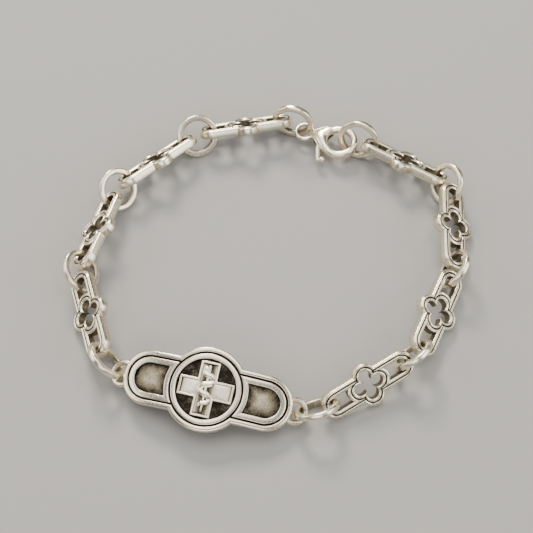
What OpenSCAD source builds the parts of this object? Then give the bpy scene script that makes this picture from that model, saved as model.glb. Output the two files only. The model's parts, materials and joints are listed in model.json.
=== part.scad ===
// Linked bracelet with a medical plate, quatrefoil links, jump rings and a lobster clasp.
// It is modelled closed, lying on a table, with the plate at the front (towards -Y) and the clasp at the
// back.
// The origin is on the table, under the middle of the bracelet.

/* [Links] */
// Length of one link over its round ends
link_l = 16.4; // [14:0.1:22]
// Width of a link over its two rails
link_span = 4.7; // [4.2:0.1:6]
// Width of a rail, and of the bar at each end, seen from the face
rail_w = 1.2; // [0.9:0.05:1.5]
// Thickness of a link
link_t = 1.45; // [1:0.05:2]
// Width of a link over its two side lobes
lobe_span = 7.4; // [6.8:0.1:9]
// Radius of each of the four lobes
lobe_r = 1.9; // [1.6:0.05:2.2]
// Width of the four-lobed hole over two opposite lobes
hole_span = 4.9; // [4.4:0.05:6]
// Radius of each lobe of the hole
hole_r = 0.98; // [0.9:0.02:1.3]

/* [Jump rings] */
// Outer diameter of a jump ring
ring_d = 7.4; // [7.2:0.1:9]
// Diameter of the wire of a jump ring
ring_wire = 1.15; // [0.8:0.05:1.3]

/* [Plate] */
// Length of the plate over its two wings, without the eyes
plate_l = 27.2; // [24:0.2:34]
// Diameter of the round middle of the plate
plate_d = 13.2; // [12:0.1:16]
// Width of a wing
wing_w = 8.6; // [8:0.1:11]
// Thickness of the plate
plate_t = 1.9; // [1.6:0.1:2.6]
// Radius to which the plate is curved along its length
plate_bend = 34; // [28:1:80]
// Diameter of the round recess that holds the emblem
recess_d = 9.5; // [8.4:0.1:10.6]
// Depth of the round recess
recess_deep = 0.6; // [0.3:0.05:0.8]
// Distance from the edge of a wing to its pocket
pocket_in = 1.95; // [1.7:0.05:2.4]
// Depth of the pockets in the wings
pocket_deep = 0.45; // [0.2:0.05:0.8]
// Outer diameter of the soldered eye at each end
eye_d = 4.5; // [3.8:0.1:5]
// Diameter of the wire of an eye
eye_wire = 0.9; // [0.8:0.05:1.3]

/* [Emblem] */
// Reach of a cross arm from the middle of the recess
arm_l = 4.3; // [3.4:0.1:4.6]
// Width of a cross arm
arm_w = 3; // [2.4:0.1:3.4]
// Width of the raised border of the cross
border_w = 0.32; // [0.2:0.02:0.5]
// Height of the border above the floor of the recess
emblem_h = 0.5; // [0.3:0.05:0.6]
// Height of the sunken fields above the floor of the recess
field_h = 0.2; // [0.1:0.05:0.25]
// Diameter of the rod and of the serpent
rod_d = 0.5; // [0.3:0.05:0.6]

/* [Grooves] */
// Width of the engraved lines
groove_w = 0.28; // [0.15:0.01:0.4]
// Depth of the engraved lines
groove_deep = 0.25; // [0.1:0.05:0.4]
// Distance from the edge of the plate to the middle of its engraved line
groove_in = 0.93; // [0.7:0.01:1.2]

/* [Clasp] */
// Inner diameter of the hook of the clasp
hook_bore = 4.1; // [4:0.1:5]
// Width of the hook's metal, seen from the face
hook_w = 1.25; // [1:0.05:1.5]
// Thickness of the hook
hook_t = 1.65; // [1.3:0.05:2.2]
// Distance from the middle of the hook to the middle of the clasp's own eye
clasp_reach = 6.4; // [6.1:0.1:8]
// Outer diameter of the clasp's own eye
clasp_eye_d = 3.7; // [3.4:0.1:4]
// Hole of the clasp's own eye
clasp_eye_bore = 2.4; // [2.1:0.05:2.6]
// Width of the clasp's neck, next to its eye
neck_w = 2.22; // [1.9:0.02:2.4]
// Thickness of the domed body of the clasp at its middle
clasp_t = 2.6; // [2.4:0.1:3.4]
// Thickness of the lever
lever_t = 0.9; // [0.7:0.05:1.1]
// How far the lever swings open, in degrees
lever_swing = 16; // [10:1:17]
// Diameter of the lever's pin
pin_d = 0.7; // [0.5:0.05:0.9]
// Width of the lever's metal round its pin
hub_wall = 0.5; // [0.4:0.05:0.6]
// Diameter of the ball on the lever's thumb stem
ball_d = 1; // [0.8:0.05:1.2]

/* [Fit] */
// Clearance of the lever in its slot, on each side
slot_gap = 0.12; // [0.08:0.02:0.2]
// Clearance round the lever's pin
pin_gap = 0.06; // [0.04:0.01:0.1]
// Gap between the closed lever and the tip of the hook
tip_gap = 0.12; // [0.08:0.02:0.2]

/* [Hidden] */
$fn = 64;
silver = "#C9C2B2";
over = 0.2;

lobe_at = lobe_span / 2 - lobe_r;
hole_at = hole_span / 2 - hole_r;
vein_at = (lobe_at + hole_at) / 2;
vein_r = (lobe_r + hole_r) / 2;
ring_r = (ring_d - ring_wire) / 2;
ring_bore = ring_d - 2 * ring_wire;
eye_r = (eye_d - eye_wire) / 2;
eye_at = plate_l / 2 + eye_wire / 4;
eye_turn = asin(eye_at / plate_bend);
hook_in = hook_bore / 2;
hook_out = hook_in + hook_w;
hook_mid = (hook_in + hook_out) / 2;
clasp_eye_bar = (clasp_eye_d - clasp_eye_bore) / 2;
neck_r = neck_w / 2;
neck_at = clasp_reach - clasp_eye_bore / 2 - clasp_eye_bar / 4 - neck_r;
pin_at = [hook_out + pin_d / 2, 0];
hub_r = pin_d / 2 + hub_wall;
slot_t = lever_t + 2 * slot_gap;
// Angles round the hook, from the eye's side: the hook's tip, and where the gate leaves the body
tip_angle = -100;
gate_root = -42;
// How far the hook's tip stands from the pin: the gate's end sweeps inside this
tip_reach = norm(hook_in * arc_point(tip_angle) - pin_at);
gate_x = hook_in * cos(gate_root) - slot_gap;
// The gate runs on past its root, in degrees, and the lever's arm meets it there
gate_lap = 14;
arm_lap = 8;
// How far the thumb stem leans back from the pin, and its height past the hook's rim, at its knee and its
// end
knee_back = 0.8;
knee_out = -0.5;
stem_back = 1.7;
stem_out = 1.6;
knee_at = pin_at + [-knee_back, hook_out + knee_out];
stem_end = pin_at + [-stem_back, hook_out + stem_out];
// The ball sits on the hook's side of the stem, just short of its end
ball_at = [stem_end.x - ball_d / 2, stem_end.y - 0.55 * ball_d, 0];

// The lens that rounds the clasp's body: how far out a point lies, as a share of the hook's outer radius, and
// how thick the lens is there, as a share of the body's thickness
OUT = 0;
THICK = 1;
LENS = [
    // out, thick
    [0, 1],
    [0.45, 0.9],
    [0.8, 0.6],
    [1.15, 0.22]
];

// How the pieces lie, in order round the loop, anticlockwise seen from above. Headings, tilts and rises are
// degrees. The lift is how far a piece is held up by the rings under it, as a share of their wire, and the
// slack is a share of the play that the next ring leaves.
HEADING = 0;
TILT = 1;
RISE = 2;
LIFT = 3;
SLACK = 4;
LIE = [
    // heading, tilt, rise, lift, slack
    [-14, 20, 0, 0.78, 0.8],      // plate
    [30, 45, 8, 0, 0.69],         // link 1
    [66, 35, 0, 0, 0.33],         // link 2
    [88, 35, 3, 0, 0.34],         // link 3
    [150, 36, 2, 0, 0.32],        // link 4
    [156, -3, -3, 0.61, 0.53],    // clasp
    [192, 38, 1, 0, 0.4],         // link 5
    [221, 43, 2, 0, 0.38],        // link 6
    [253, 43, 3, 0, 0.2],         // link 7
    [286, 46, 3, 0, 0.73]         // link 8
];
// Where the two rings hang on the clasp: angles round its hook and round its own eye
hook_hang = -158;
eye_hang = -50;
// How each jump ring stands: the heading and the rise of its axis in degrees, and how far its middle is off
// the middle between its two bars, as shares of the ring's wire. Its height comes from the bars or from the
// table.
RISE_OF_AXIS = 1;
OFF_X = 2;
OFF_Y = 3;
RING = [
    // heading, rise, off along X, off along Y
    [112, 44, 0.13, -0.04],
    [134, 37, -0.26, 0.04],
    [162, 35, 0, 0],
    [-155, 32, -0.17, -0.17],
    [-108, 20, -0.26, 0.09],
    [77, -4, -0.43, -0.65],
    [-67, 41, 0, 0],
    [-39, 42, 0, 0],
    [-6, 44, 0, 0],
    [31, 37, -0.04, 0.09]
];
PLATE = 0;
CLASP = 5;
count = len(LIE);

// Plain vector helpers
function turn_z(p, a) = [p.x * cos(a) - p.y * sin(a), p.x * sin(a) + p.y * cos(a), p.z];
function turn_y(p, a) = [p.x * cos(a) + p.z * sin(a), p.y, p.z * cos(a) - p.x * sin(a)];
function turn_x(p, a) = [p.x, p.y * cos(a) - p.z * sin(a), p.y * sin(a) + p.z * cos(a)];
function total(list, n = 0) = n >= len(list) ? list[0] * 0 : list[n] + total(list, n + 1);
function flat(p) = [p.x, p.y];
function quarter(p) = [-p.y, p.x];
function arc_point(a) = [cos(a), sin(a)];

// Places on the three kinds of piece, each in the piece's own frame: its outer tip and the middle of its end
// bar
function on_bend(r) = [sin(eye_turn) * plate_bend + cos(eye_turn) * r, 0,
                       cos(eye_turn) * plate_bend - sin(eye_turn) * r - plate_bend];
function flip(p) = [-p.x, p.y, p.z];
function on_hook(r) = [r * cos(hook_hang), r * sin(hook_hang), 0];
function on_clasp_eye(r) = [clasp_reach + r * cos(eye_hang), r * sin(eye_hang), 0];
function tip_ahead(i) = i == PLATE ? on_bend(eye_d / 2)
    : i == CLASP ? on_clasp_eye(clasp_eye_d / 2)
    : [link_l / 2, 0, 0];
function tip_behind(i) = i == CLASP ? on_hook(hook_out) : flip(tip_ahead(i));
function bar_ahead(i) = i == PLATE ? on_bend(eye_r)
    : i == CLASP ? on_clasp_eye((clasp_eye_d - clasp_eye_bar) / 2)
    : [link_l / 2 - rail_w / 2, 0, 0];
function bar_behind(i) = i == CLASP ? on_hook(hook_mid) : flip(bar_ahead(i));
function bar_w_ahead(i) = i == PLATE ? eye_wire : i == CLASP ? clasp_eye_bar : rail_w;
function bar_w_behind(i) = i == PLATE ? eye_wire : i == CLASP ? hook_w : rail_w;
function next(i) = (i + 1) % count;
function play(i) = LIE[i][SLACK] * (ring_bore - bar_w_ahead(i) - bar_w_behind(next(i)));

// The headings are corrected by the smallest turns that bring the last piece back to the first
function tipped(p, i) = turn_y(turn_x(p, LIE[i][TILT]), -LIE[i][RISE]);
function span(i, head) = flat(turn_z(tipped(tip_ahead(i) - tip_behind(i), i), head[i]));
function gap_heading(i, head) = (head[i] + head[next(i)] + (i == count - 1 ? 360 : 0)) / 2;
function step(i, head) = play(i) * arc_point(gap_heading(i, head));
function miss(head) = total([for (i = [0 : count - 1]) span(i, head) + step(i, head)]);
function pull(i, head) = quarter(span(i, head) + step(i, head) / 2 + step((i + count - 1) % count, head) / 2);
function solve(a, b, c, f) = [c * f.x - b * f.y, a * f.y - b * f.x] / (a * c - b * b);
function closed(head, tries) = tries == 0 ? head :
    let (j = [for (i = [0 : count - 1]) pull(i, head)],
         a = total([for (p = j) p.x * p.x]),
         b = total([for (p = j) p.x * p.y]),
         c = total([for (p = j) p.y * p.y]),
         k = solve(a, b, c, miss(head)))
    closed([for (i = [0 : count - 1]) head[i] - (j[i] * k) * 180 / PI], tries - 1);
head = closed([for (row = LIE) row[HEADING]], 6);

// Points on the rim of each piece, on both faces, of which the lowest touches the table
function rim(l, w) =
    [for (s = [-1, 1], a = [-90 : 15 : 90]) [s * ((l - w) / 2 + w / 2 * cos(a)), w / 2 * sin(a)]];
function lobes(at, r) =
    [for (s = [0 : 90 : 270], a = [-75 : 15 : 75]) at * arc_point(s) + r * arc_point(s + a)];
function both_faces(points, t) = [for (z = [-t / 2, t / 2], p = points) [p.x, p.y, z]];
function bent(p) = let (z = sqrt(pow(plate_bend + p.z, 2) - p.x * p.x) - plate_bend) [p.x, p.y, z];
function rim_points(i) = i == PLATE
    ? [for (p = both_faces(concat(rim(plate_l, wing_w), lobes(0, plate_d / 2)), plate_t)) bent(p)]
    : i == CLASP
    ? concat(both_faces(lobes(0, hook_out), hook_t),
             [[neck_at / 2, 0, -clasp_t / 2],
              [clasp_reach + clasp_eye_d / 2, 0, -clasp_eye_bar / 2],
              ball_at - [0, 0, ball_d / 2]])
    : both_faces(concat(rim(link_l, link_span), lobes(lobe_at, lobe_r)), link_t);
function turned(p, i) = turn_z(tipped(p, i), head[i]);
function height(i) = LIE[i][LIFT] * ring_wire - min([for (p = rim_points(i)) turned(p, i).z]);

// Middle of each piece before the whole loop is centred
function reach_back(i) = flat(turned(tip_behind(i), i));
function tip_place(i) = i == 0 ? [0, 0] : tip_place(i - 1) + span(i - 1, head) + step(i - 1, head);
function raw_place(i) = let (p = tip_place(i) - reach_back(i)) [p.x, p.y, height(i)];
raw = [for (i = [0 : count - 1]) raw_place(i)];
function raw_at(p, i) = raw[i] + turned(p, i);

// Each jump ring stands between its two bars, on the table or clear of it
function ring_bars(i) = [raw_at(bar_ahead(i), i), raw_at(bar_behind(next(i)), next(i))];
function ring_normal(i) = turn_z(turn_y([1, 0, 0], -RING[i][RISE_OF_AXIS]), RING[i][HEADING]);
function ring_extent(n, k) = ring_r * sqrt(1 - n[k] * n[k]) + ring_wire / 2;
function ring_middle(i) =
    let (bars = ring_bars(i), c = (bars[0] + bars[1]) / 2, low = ring_extent(ring_normal(i), 2))
    [c.x + RING[i][OFF_X] * ring_wire, c.y + RING[i][OFF_Y] * ring_wire, max(c.z, low)];
ring_n = [for (i = [0 : count - 1]) ring_normal(i)];
ring_c = [for (i = [0 : count - 1]) ring_middle(i)];

// The box round everything gives the shift that centres the loop
edge_points = [for (i = [0 : count - 1], p = rim_points(i)) raw_at(p, i)];
function side(k, s) = max(concat([for (p = edge_points) s * p[k]],
                                 [for (i = [0 : count - 1]) s * ring_c[i][k] + ring_extent(ring_n[i], k)]));
shift = [side(0, -1) - side(0, 1), side(1, -1) - side(1, 1), 0] / 2;

module lay(i) {
    translate(raw[i] + shift)
        rotate([0, 0, head[i]])
            rotate([0, -LIE[i][RISE], 0])
                rotate([LIE[i][TILT], 0, 0])
                    children();
}

// Flat shapes
module stadium(l, w) {
    square([l - w, w], center = true);
    for (s = [-1, 1])
        translate([s * (l - w) / 2, 0])
            circle(w / 2);
}

module quatrefoil(at, r) {
    for (a = [0 : 90 : 270])
        rotate(a)
            translate([at, 0])
                circle(r);
    polygon([[at, 0], [0, at], [-at, 0], [0, -at]]);
}

module link_face() {
    difference() {
        union() {
            stadium(link_l, link_span);
            quatrefoil(lobe_at, lobe_r);
        }
        difference() {
            stadium(link_l - 2 * rail_w, link_span - 2 * rail_w);
            quatrefoil(lobe_at, lobe_r);
        }
        quatrefoil(hole_at, hole_r);
    }
}

module link_groove() {
    difference() {
        quatrefoil(vein_at, vein_r + groove_w / 2);
        quatrefoil(vein_at, vein_r - groove_w / 2);
    }
    difference() {
        stadium(link_l - rail_w + groove_w, link_span - rail_w + groove_w);
        stadium(link_l - rail_w - groove_w, link_span - rail_w - groove_w);
        quatrefoil(vein_at, vein_r);
    }
}

// One link: two rails with round ends, a pierced four-lobed ring between them, and engraved lines on the face
module link(i) {
    color(silver)
        lay(i)
            difference() {
                linear_extrude(link_t, center = true) link_face();
                translate([0, 0, link_t / 2 - groove_deep])
                    linear_extrude(groove_deep + over) link_groove();
            }
}

// One round jump ring, from bar to bar
module jump_ring(i) {
    n = ring_n[i];
    color(silver)
        translate(ring_c[i] + shift)
            rotate([0, acos(n.z), atan2(n.y, n.x)])
                rotate_extrude()
                    translate([ring_r, 0])
                        circle(ring_wire / 2, $fn = 32);
}

// A drum about the axis that the plate is curved round, whose face lies at a height above the plate's mid
// surface
module drum(z) {
    translate([0, 0, -plate_bend])
        rotate([90, 0, 0])
            cylinder(r = plate_bend + z, h = plate_d + 2, center = true, $fn = 128);
}

// The children's outline between two heights, following the curve
module curved(low, high) {
    intersection() {
        translate([0, 0, -plate_bend])
            linear_extrude(plate_bend + plate_t)
                children();
        difference() {
            drum(high);
            drum(low);
        }
    }
}

module plate_outline() {
    circle(plate_d / 2);
    stadium(plate_l, wing_w);
}

module plate_grooves() {
    groove_r = plate_d / 2 - groove_in;
    difference() {
        circle(groove_r + groove_w / 2);
        circle(groove_r - groove_w / 2);
    }
    difference() {
        stadium(plate_l - 2 * groove_in + groove_w, wing_w - 2 * groove_in + groove_w);
        stadium(plate_l - 2 * groove_in - groove_w, wing_w - 2 * groove_in - groove_w);
        circle(groove_r);
    }
}

module pockets() {
    difference() {
        stadium(plate_l - 2 * pocket_in, wing_w - 2 * pocket_in);
        circle(plate_d / 2);
    }
}

module cross(w, reach) {
    square([2 * reach, w], center = true);
    square([w, 2 * reach], center = true);
}

// Rod and serpent on the upright bar of the cross: the serpent crosses the rod in four slanting turns
module rod_and_serpent() {
    turns = 4;
    slant = 28;
    pitch = (2 * arm_l - 4 * border_w) / (turns + 1);
    square([rod_d / 2, 2 * arm_l - 4 * border_w], center = true);
    for (k = [0 : turns - 1])
        translate([0, (k - (turns - 1) / 2) * pitch])
            rotate(k % 2 == 0 ? slant : -slant)
                stadium(arm_w - 3 * border_w, rod_d);
}

// The plate: a curved bar with a round middle, engraved lines, a recess with the emblem, two pockets and two
// eyes
module plate() {
    top = plate_t / 2;
    floor_z = top - recess_deep;
    color(silver)
        lay(PLATE) {
            difference() {
                curved(-top, top) plate_outline();
                curved(top - groove_deep, top + over) plate_grooves();
                curved(floor_z, top + over) circle(recess_d / 2);
                curved(top - pocket_deep, top + over) pockets();
            }
            curved(floor_z - over, floor_z + field_h) cross(arm_w, arm_l);
            curved(floor_z - over, floor_z + emblem_h)
                difference() {
                    cross(arm_w, arm_l);
                    cross(arm_w - 2 * border_w, arm_l - border_w);
                }
            curved(floor_z - over, floor_z + emblem_h) rod_and_serpent();
            for (s = [-1, 1])
                translate([0, 0, -plate_bend])
                    rotate([0, s * eye_turn, 0])
                        translate([0, 0, plate_bend])
                            rotate_extrude()
                                translate([eye_r, 0])
                                    circle(eye_wire / 2, $fn = 32);
        }
}

// Clasp: the hook's middle is the origin, the eye lies along +X, the gate is towards -Y and the thumb stem +Y
// A ring of metal between two angles, seen from the face
module ring_part(inner, outer, from, to) {
    gap = from + 360 - to;
    difference() {
        circle(outer);
        circle(inner);
        polygon(concat([[0, 0]], [for (k = [0 : 8]) 2 * outer * arc_point(to + gap * k / 8)]));
    }
}

// Two circles joined by their outer tangents
module tapered(r1, r2, d) {
    a = acos((r1 - r2) / d);
    circle(r1);
    translate([d, 0])
        circle(r2);
    polygon([r1 * arc_point(a), [d, 0] + r2 * arc_point(a), [d, 0] + r2 * arc_point(-a), r1 * arc_point(-a)]);
}

// A straight bar with round ends between two points
module bar(p, q, w) {
    d = q - p;
    translate((p + q) / 2)
        rotate(atan2(d.y, d.x))
            stadium(norm(d) + w, w);
}

// The hook's section, with its edges taken off
module hook_section() {
    w = hook_w / 2;
    h = hook_t / 2;
    c = hook_w / 4;
    translate([hook_mid, 0])
        polygon([[-w, c - h], [c - w, -h], [w - c, -h], [w, c - h],
                 [w, h - c], [w - c, h], [c - w, h], [-w, h - c]]);
}

// A lens-shaped turned solid, thickest over the pin, that rounds the body off towards its edges
module lens() {
    lower = [for (row = LENS) [row[OUT] * hook_out, -row[THICK] * clasp_t / 2]];
    upper = [for (k = [len(lower) - 1 : -1 : 0]) [lower[k].x, -lower[k].y]];
    translate([neck_at / 2, 0, 0])
        rotate_extrude()
            polygon(concat(lower, upper));
}

// Room for the lever between the two cheeks, from closed to open
module lever_room() {
    difference() {
        translate([gate_x, -hook_out - over])
            square([pin_at.x - gate_x, hook_out + over]);
        circle(hook_in - over);
    }
    translate(pin_at)
        circle(hub_r + slot_gap);
    translate([knee_at.x - lever_t / 2 - slot_gap, 0])
        square([lever_t + knee_at.y * sin(lever_swing) + 2 * slot_gap, hook_out + over]);
}

// The opening in the hook that the gate closes
module gate_gap() {
    intersection() {
        translate(pin_at)
            circle(tip_reach);
        polygon(concat([[0, 0]],
                       [for (k = [-1 : 3])
                            3 * hook_out * arc_point(tip_angle + (gate_root - tip_angle) * k / 3)]));
    }
}

module clasp_body_solid() {
    difference() {
        union() {
            rotate_extrude()
                hook_section();
            intersection() {
                linear_extrude(clasp_t, center = true)
                    difference() {
                        tapered(hook_out, neck_r, neck_at);
                        circle(hook_in);
                        translate([-hook_out, -hook_out])
                            square([hook_out, 2 * hook_out]);
                    }
                lens();
            }
            translate([clasp_reach, 0, 0])
                rotate_extrude()
                    translate([(clasp_eye_bore + clasp_eye_bar) / 2, 0])
                        circle(clasp_eye_bar / 2, $fn = 32);
        }
        translate([0, 0, -slot_t / 2])
            linear_extrude(slot_t)
                lever_room();
        translate([0, 0, -clasp_t / 2 - over])
            linear_extrude(clasp_t + 2 * over)
                gate_gap();
    }
    translate([pin_at.x, 0, 0])
        cylinder(d = pin_d, h = slot_t + clasp_t / 3, center = true);
}

// The lever: a gate that follows the hook's curve, a hub on the pin, and a thumb stem with a ball
module clasp_lever_solid() {
    difference() {
        union() {
            linear_extrude(lever_t, center = true) {
                intersection() {
                    ring_part(hook_in + tip_gap, hook_out, tip_angle, gate_root + gate_lap);
                    translate(pin_at)
                        circle(tip_reach - tip_gap);
                }
                translate(pin_at)
                    circle(hub_r);
                bar((hook_mid + tip_gap / 2) * arc_point(gate_root + arm_lap), pin_at, lever_t);
                bar(pin_at, knee_at, lever_t);
                bar(knee_at, stem_end, lever_t * 0.8);
            }
            translate(ball_at)
                sphere(d = ball_d);
        }
        translate([pin_at.x, 0, 0])
            cylinder(d = pin_d + 2 * pin_gap, h = clasp_t, center = true);
    }
}

module clasp_body() {
    color(silver)
        lay(CLASP)
            clasp_body_solid();
}

module clasp_lever() {
    color(silver)
        lay(CLASP)
            clasp_lever_solid();
}

plate();
link(1);  // link_1
link(2);  // link_2
link(3);  // link_3
link(4);  // link_4
link(6);  // link_5
link(7);  // link_6
link(8);  // link_7
link(9);  // link_8
jump_ring(0);  // ring_1
jump_ring(1);  // ring_2
jump_ring(2);  // ring_3
jump_ring(3);  // ring_4
jump_ring(4);  // ring_5
jump_ring(5);  // ring_6
jump_ring(6);  // ring_7
jump_ring(7);  // ring_8
jump_ring(8);  // ring_9
jump_ring(9);  // ring_10
clasp_body();
clasp_lever();
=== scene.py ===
"""Linked bracelet with an oval-winged plate: finished surfaces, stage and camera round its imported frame.

Every piece is a surface worked out in millimetres in its own flat frame, then laid where its CAD node lies.
"""

import json
from types import SimpleNamespace

import bpy
import numpy as np
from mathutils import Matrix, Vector


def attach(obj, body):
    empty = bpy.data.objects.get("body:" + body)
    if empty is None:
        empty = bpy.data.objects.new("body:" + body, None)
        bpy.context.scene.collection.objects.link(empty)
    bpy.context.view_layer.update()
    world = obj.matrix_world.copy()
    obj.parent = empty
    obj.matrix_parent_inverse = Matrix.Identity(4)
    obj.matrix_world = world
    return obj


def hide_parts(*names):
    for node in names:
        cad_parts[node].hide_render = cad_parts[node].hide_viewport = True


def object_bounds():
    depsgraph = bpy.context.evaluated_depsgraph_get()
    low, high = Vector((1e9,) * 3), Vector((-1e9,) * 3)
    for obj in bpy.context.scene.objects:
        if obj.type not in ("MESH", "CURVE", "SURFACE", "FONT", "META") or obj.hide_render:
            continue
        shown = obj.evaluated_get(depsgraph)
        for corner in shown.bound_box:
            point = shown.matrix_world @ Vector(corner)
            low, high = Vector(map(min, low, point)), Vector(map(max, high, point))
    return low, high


bl_info = {
    "name": "Medical alert bracelet",
    "version": (1, 0, 0),
    "blender": (4, 5, 0),
    "location": "View3D > Sidebar > Bracelet",
    "description": "Builds the finished bracelet, its floor, lights and camera round the packed frame",
    "category": "Add Mesh",
}

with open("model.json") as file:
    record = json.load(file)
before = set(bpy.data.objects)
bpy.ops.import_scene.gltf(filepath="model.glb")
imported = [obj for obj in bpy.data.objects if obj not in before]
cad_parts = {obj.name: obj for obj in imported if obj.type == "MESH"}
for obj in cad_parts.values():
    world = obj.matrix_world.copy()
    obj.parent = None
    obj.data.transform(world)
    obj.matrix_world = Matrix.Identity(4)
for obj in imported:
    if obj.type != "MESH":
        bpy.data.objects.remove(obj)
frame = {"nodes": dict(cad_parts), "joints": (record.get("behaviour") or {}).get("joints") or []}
CAD_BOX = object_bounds()

MM = 0.001
BRACELET = "bracelet"
LEVER = "lever"
HINGE = next(joint for joint in frame["joints"] if joint["name"] == "lever_hinge")
LINKS = [f"link_{number}" for number in range(1, 9)]
RINGS = [f"ring_{number}" for number in range(1, 11)]

# How dark a place is, from 0 (polished off) to 1 (left black): the silversmith's blackening, and painted
# shade on the walls of holes
BRIGHT = 0.0
WORN = 0.06
EDGE = 0.3
# Painted shade on the walls of holes
PAINTED_HOLE_SHADE = 0.64
SHADED = 0.75
BLACK = 1.0

# How much darker than its outside the inside of a ring is
INNER_STAIN = 0.42

# The darkest and the lightest painted shade on the round at the foot of an edge, under the piece
PAINTED_FOOT_SHADE_DARKEST = 0.5
PAINTED_FOOT_SHADE_LIGHTEST = 0.25

# Jump rings are of squared wire. Its flats stand at this share of the round wire's radius, and its section
# follows round_box with this power. Its corners pass the round wire by under 0.05 mm
RING_FLATS = 0.93
RING_POWER = 3.3

# Air between the lowest point of the solids and the floor, in mm
FLOOR_GAP = 0.05

# Half the side of the floor, in metres
FLOOR_HALF = 1.5

# The clasp's section follows round_box with this power. Its cheeks start at the first angle and have risen
# out of the hook's bar at the second, and the bar ends inside them at the third, in degrees
CLASP_POWER = 2.8
CHEEK_OUT = 54
CHEEK_IN = 42
BAR_END = 31

# How far past the slot's end the gate runs on, and where the lever's arm leaves it, in degrees, and the play
# of the lever on its pin, in mm
PAST_ROOT = 14
ARM_PAST_ROOT = 8
PIN_PLAY = 0.06

# The patina of the floor of the plate's recess
RECESS_PATINA = 0.93

# How far two shells of one piece reach into each other, in mm, so that no slit shows between them
LAP = 0.01

# Points on a straight stretch of an outline, and on one of its arcs
STRAIGHT_STEPS = 10
ARC_STEPS = 22
WING_STEPS = 30
ROUND_STEPS = 120

# The share of its width to which a swept bar closes at its ends
SMALLEST_END = 0.05

# The latitude, in degrees, at which a ball's poles are cut off and capped
POLAR_CAP = 86

# Angles round a quarter circle, for the rounds of edges
FEW_ANGLES = np.radians([0, 30, 60, 90])
SOME_ANGLES = np.radians([0, 22, 45, 68, 90])
MANY_ANGLES = np.radians([0, 15, 32, 50, 70, 90])

# Where a flat pillow has its rows, as shares of its outline
FLAT_SHARES = np.array([1.0, 0.97, 0.8, 0.5, 0.2, 0.02])
DOMED_SHARES = np.array([1.0, 0.97, 0.88, 0.76, 0.62, 0.48, 0.34, 0.2, 0.08, 0.02])
FIELD_SHARES = np.array([1.0, 0.93, 0.85, 0.7, 0.5, 0.3, 0.12, 0.02])

# The photograph's camera: how far above the horizon it looks down, in degrees, how far off it stands and
# where it looks, in metres, how long its lens and how wide its sensor is, in mm, and the nearest that it sees
CAMERA_RISE = 58.5
CAMERA_AWAY = 0.244
CAMERA_LENS = 99.31
AIM = (-0.00072, 0.0008, 0.0)
SENSOR_WIDTH = 36
NEAREST = 0.01

# Soft lamps: name, place and size in metres, power in watts, and colour
LAMPS = (
    ("overhead", (0, 0.06, 0.55), (0.55, 0.45), 2.6, "FFFFFF"),
    ("back", (-0.12, 0.5, 0.42), (0.22, 0.18), 5.5, "FFF9F0"),
    ("front", (-0.05, -0.52, 0.36), (0.6, 0.3), 1.7, "FFFFFF"),
    ("right", (0.5, -0.1, 0.26), (0.5, 0.35), 1.9, "FFFFFF"),
    ("left", (-0.5, 0.1, 0.24), (0.5, 0.35), 1.6, "FFFFFF"),
)
ROOM_COLOUR = "BFC1C4"
ROOM_STRENGTH = 0.25


def size(name, description, millimetres):
    """A length that a user can change, given in millimetres and kept in metres."""
    return bpy.props.FloatProperty(
        name=name, description=description, default=millimetres * MM, unit="LENGTH", precision=5
    )


def in_mm(group):
    """All lengths of a property group, in millimetres, under the names that they have there."""
    names = group.__class__.__annotations__
    return SimpleNamespace(**{name: getattr(group, name) / MM for name in names})


def linear(hex_colour):
    """The linear red, green and blue of an sRGB colour written as RRGGBB."""
    srgb = np.array([int(hex_colour[k:k + 2], 16) for k in (0, 2, 4)]) / 255
    return tuple(np.where(srgb <= 0.04045, srgb / 12.92, ((srgb + 0.055) / 1.055) ** 2.4))


def tint(name, description, hex_colour):
    """A colour that a user can change."""
    return bpy.props.FloatVectorProperty(
        name=name, description=description, default=linear(hex_colour), subtype="COLOR", min=0, max=1
    )


class BRACELET_PG_links(bpy.types.PropertyGroup):
    """Sizes of a link and of a jump ring."""

    length: size("Length", "Length of a link over its round ends", 16.4)
    span: size("Span", "Width of a link over its two rails", 4.7)
    rail: size("Rail", "Width of a rail, seen from the face", 1.2)
    thickness: size("Thickness", "Thickness of a link", 1.45)
    lobe_span: size("Lobe span", "Width of a link over its side lobes", 7.4)
    lobe_r: size("Lobe radius", "Radius of each of the four lobes", 1.9)
    hole_span: size("Hole span", "Width of the four-lobed hole over opposite lobes", 4.9)
    hole_r: size("Hole lobe radius", "Radius of each lobe of the hole", 0.98)
    edge: size("Edge", "Radius of the rounded outer edges", 0.26)
    line_w: size("Line", "Width of the engraved line", 0.18)
    line_deep: size("Line depth", "Depth of the engraved line", 0.2)
    crown: size("Crown", "Height by which the ridges bulge between line and edge", 0.05)
    ring_d: size("Ring", "Outer diameter of a jump ring", 7.4)
    ring_wire: size("Ring wire", "Diameter of the wire of a jump ring", 1.15)


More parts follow.
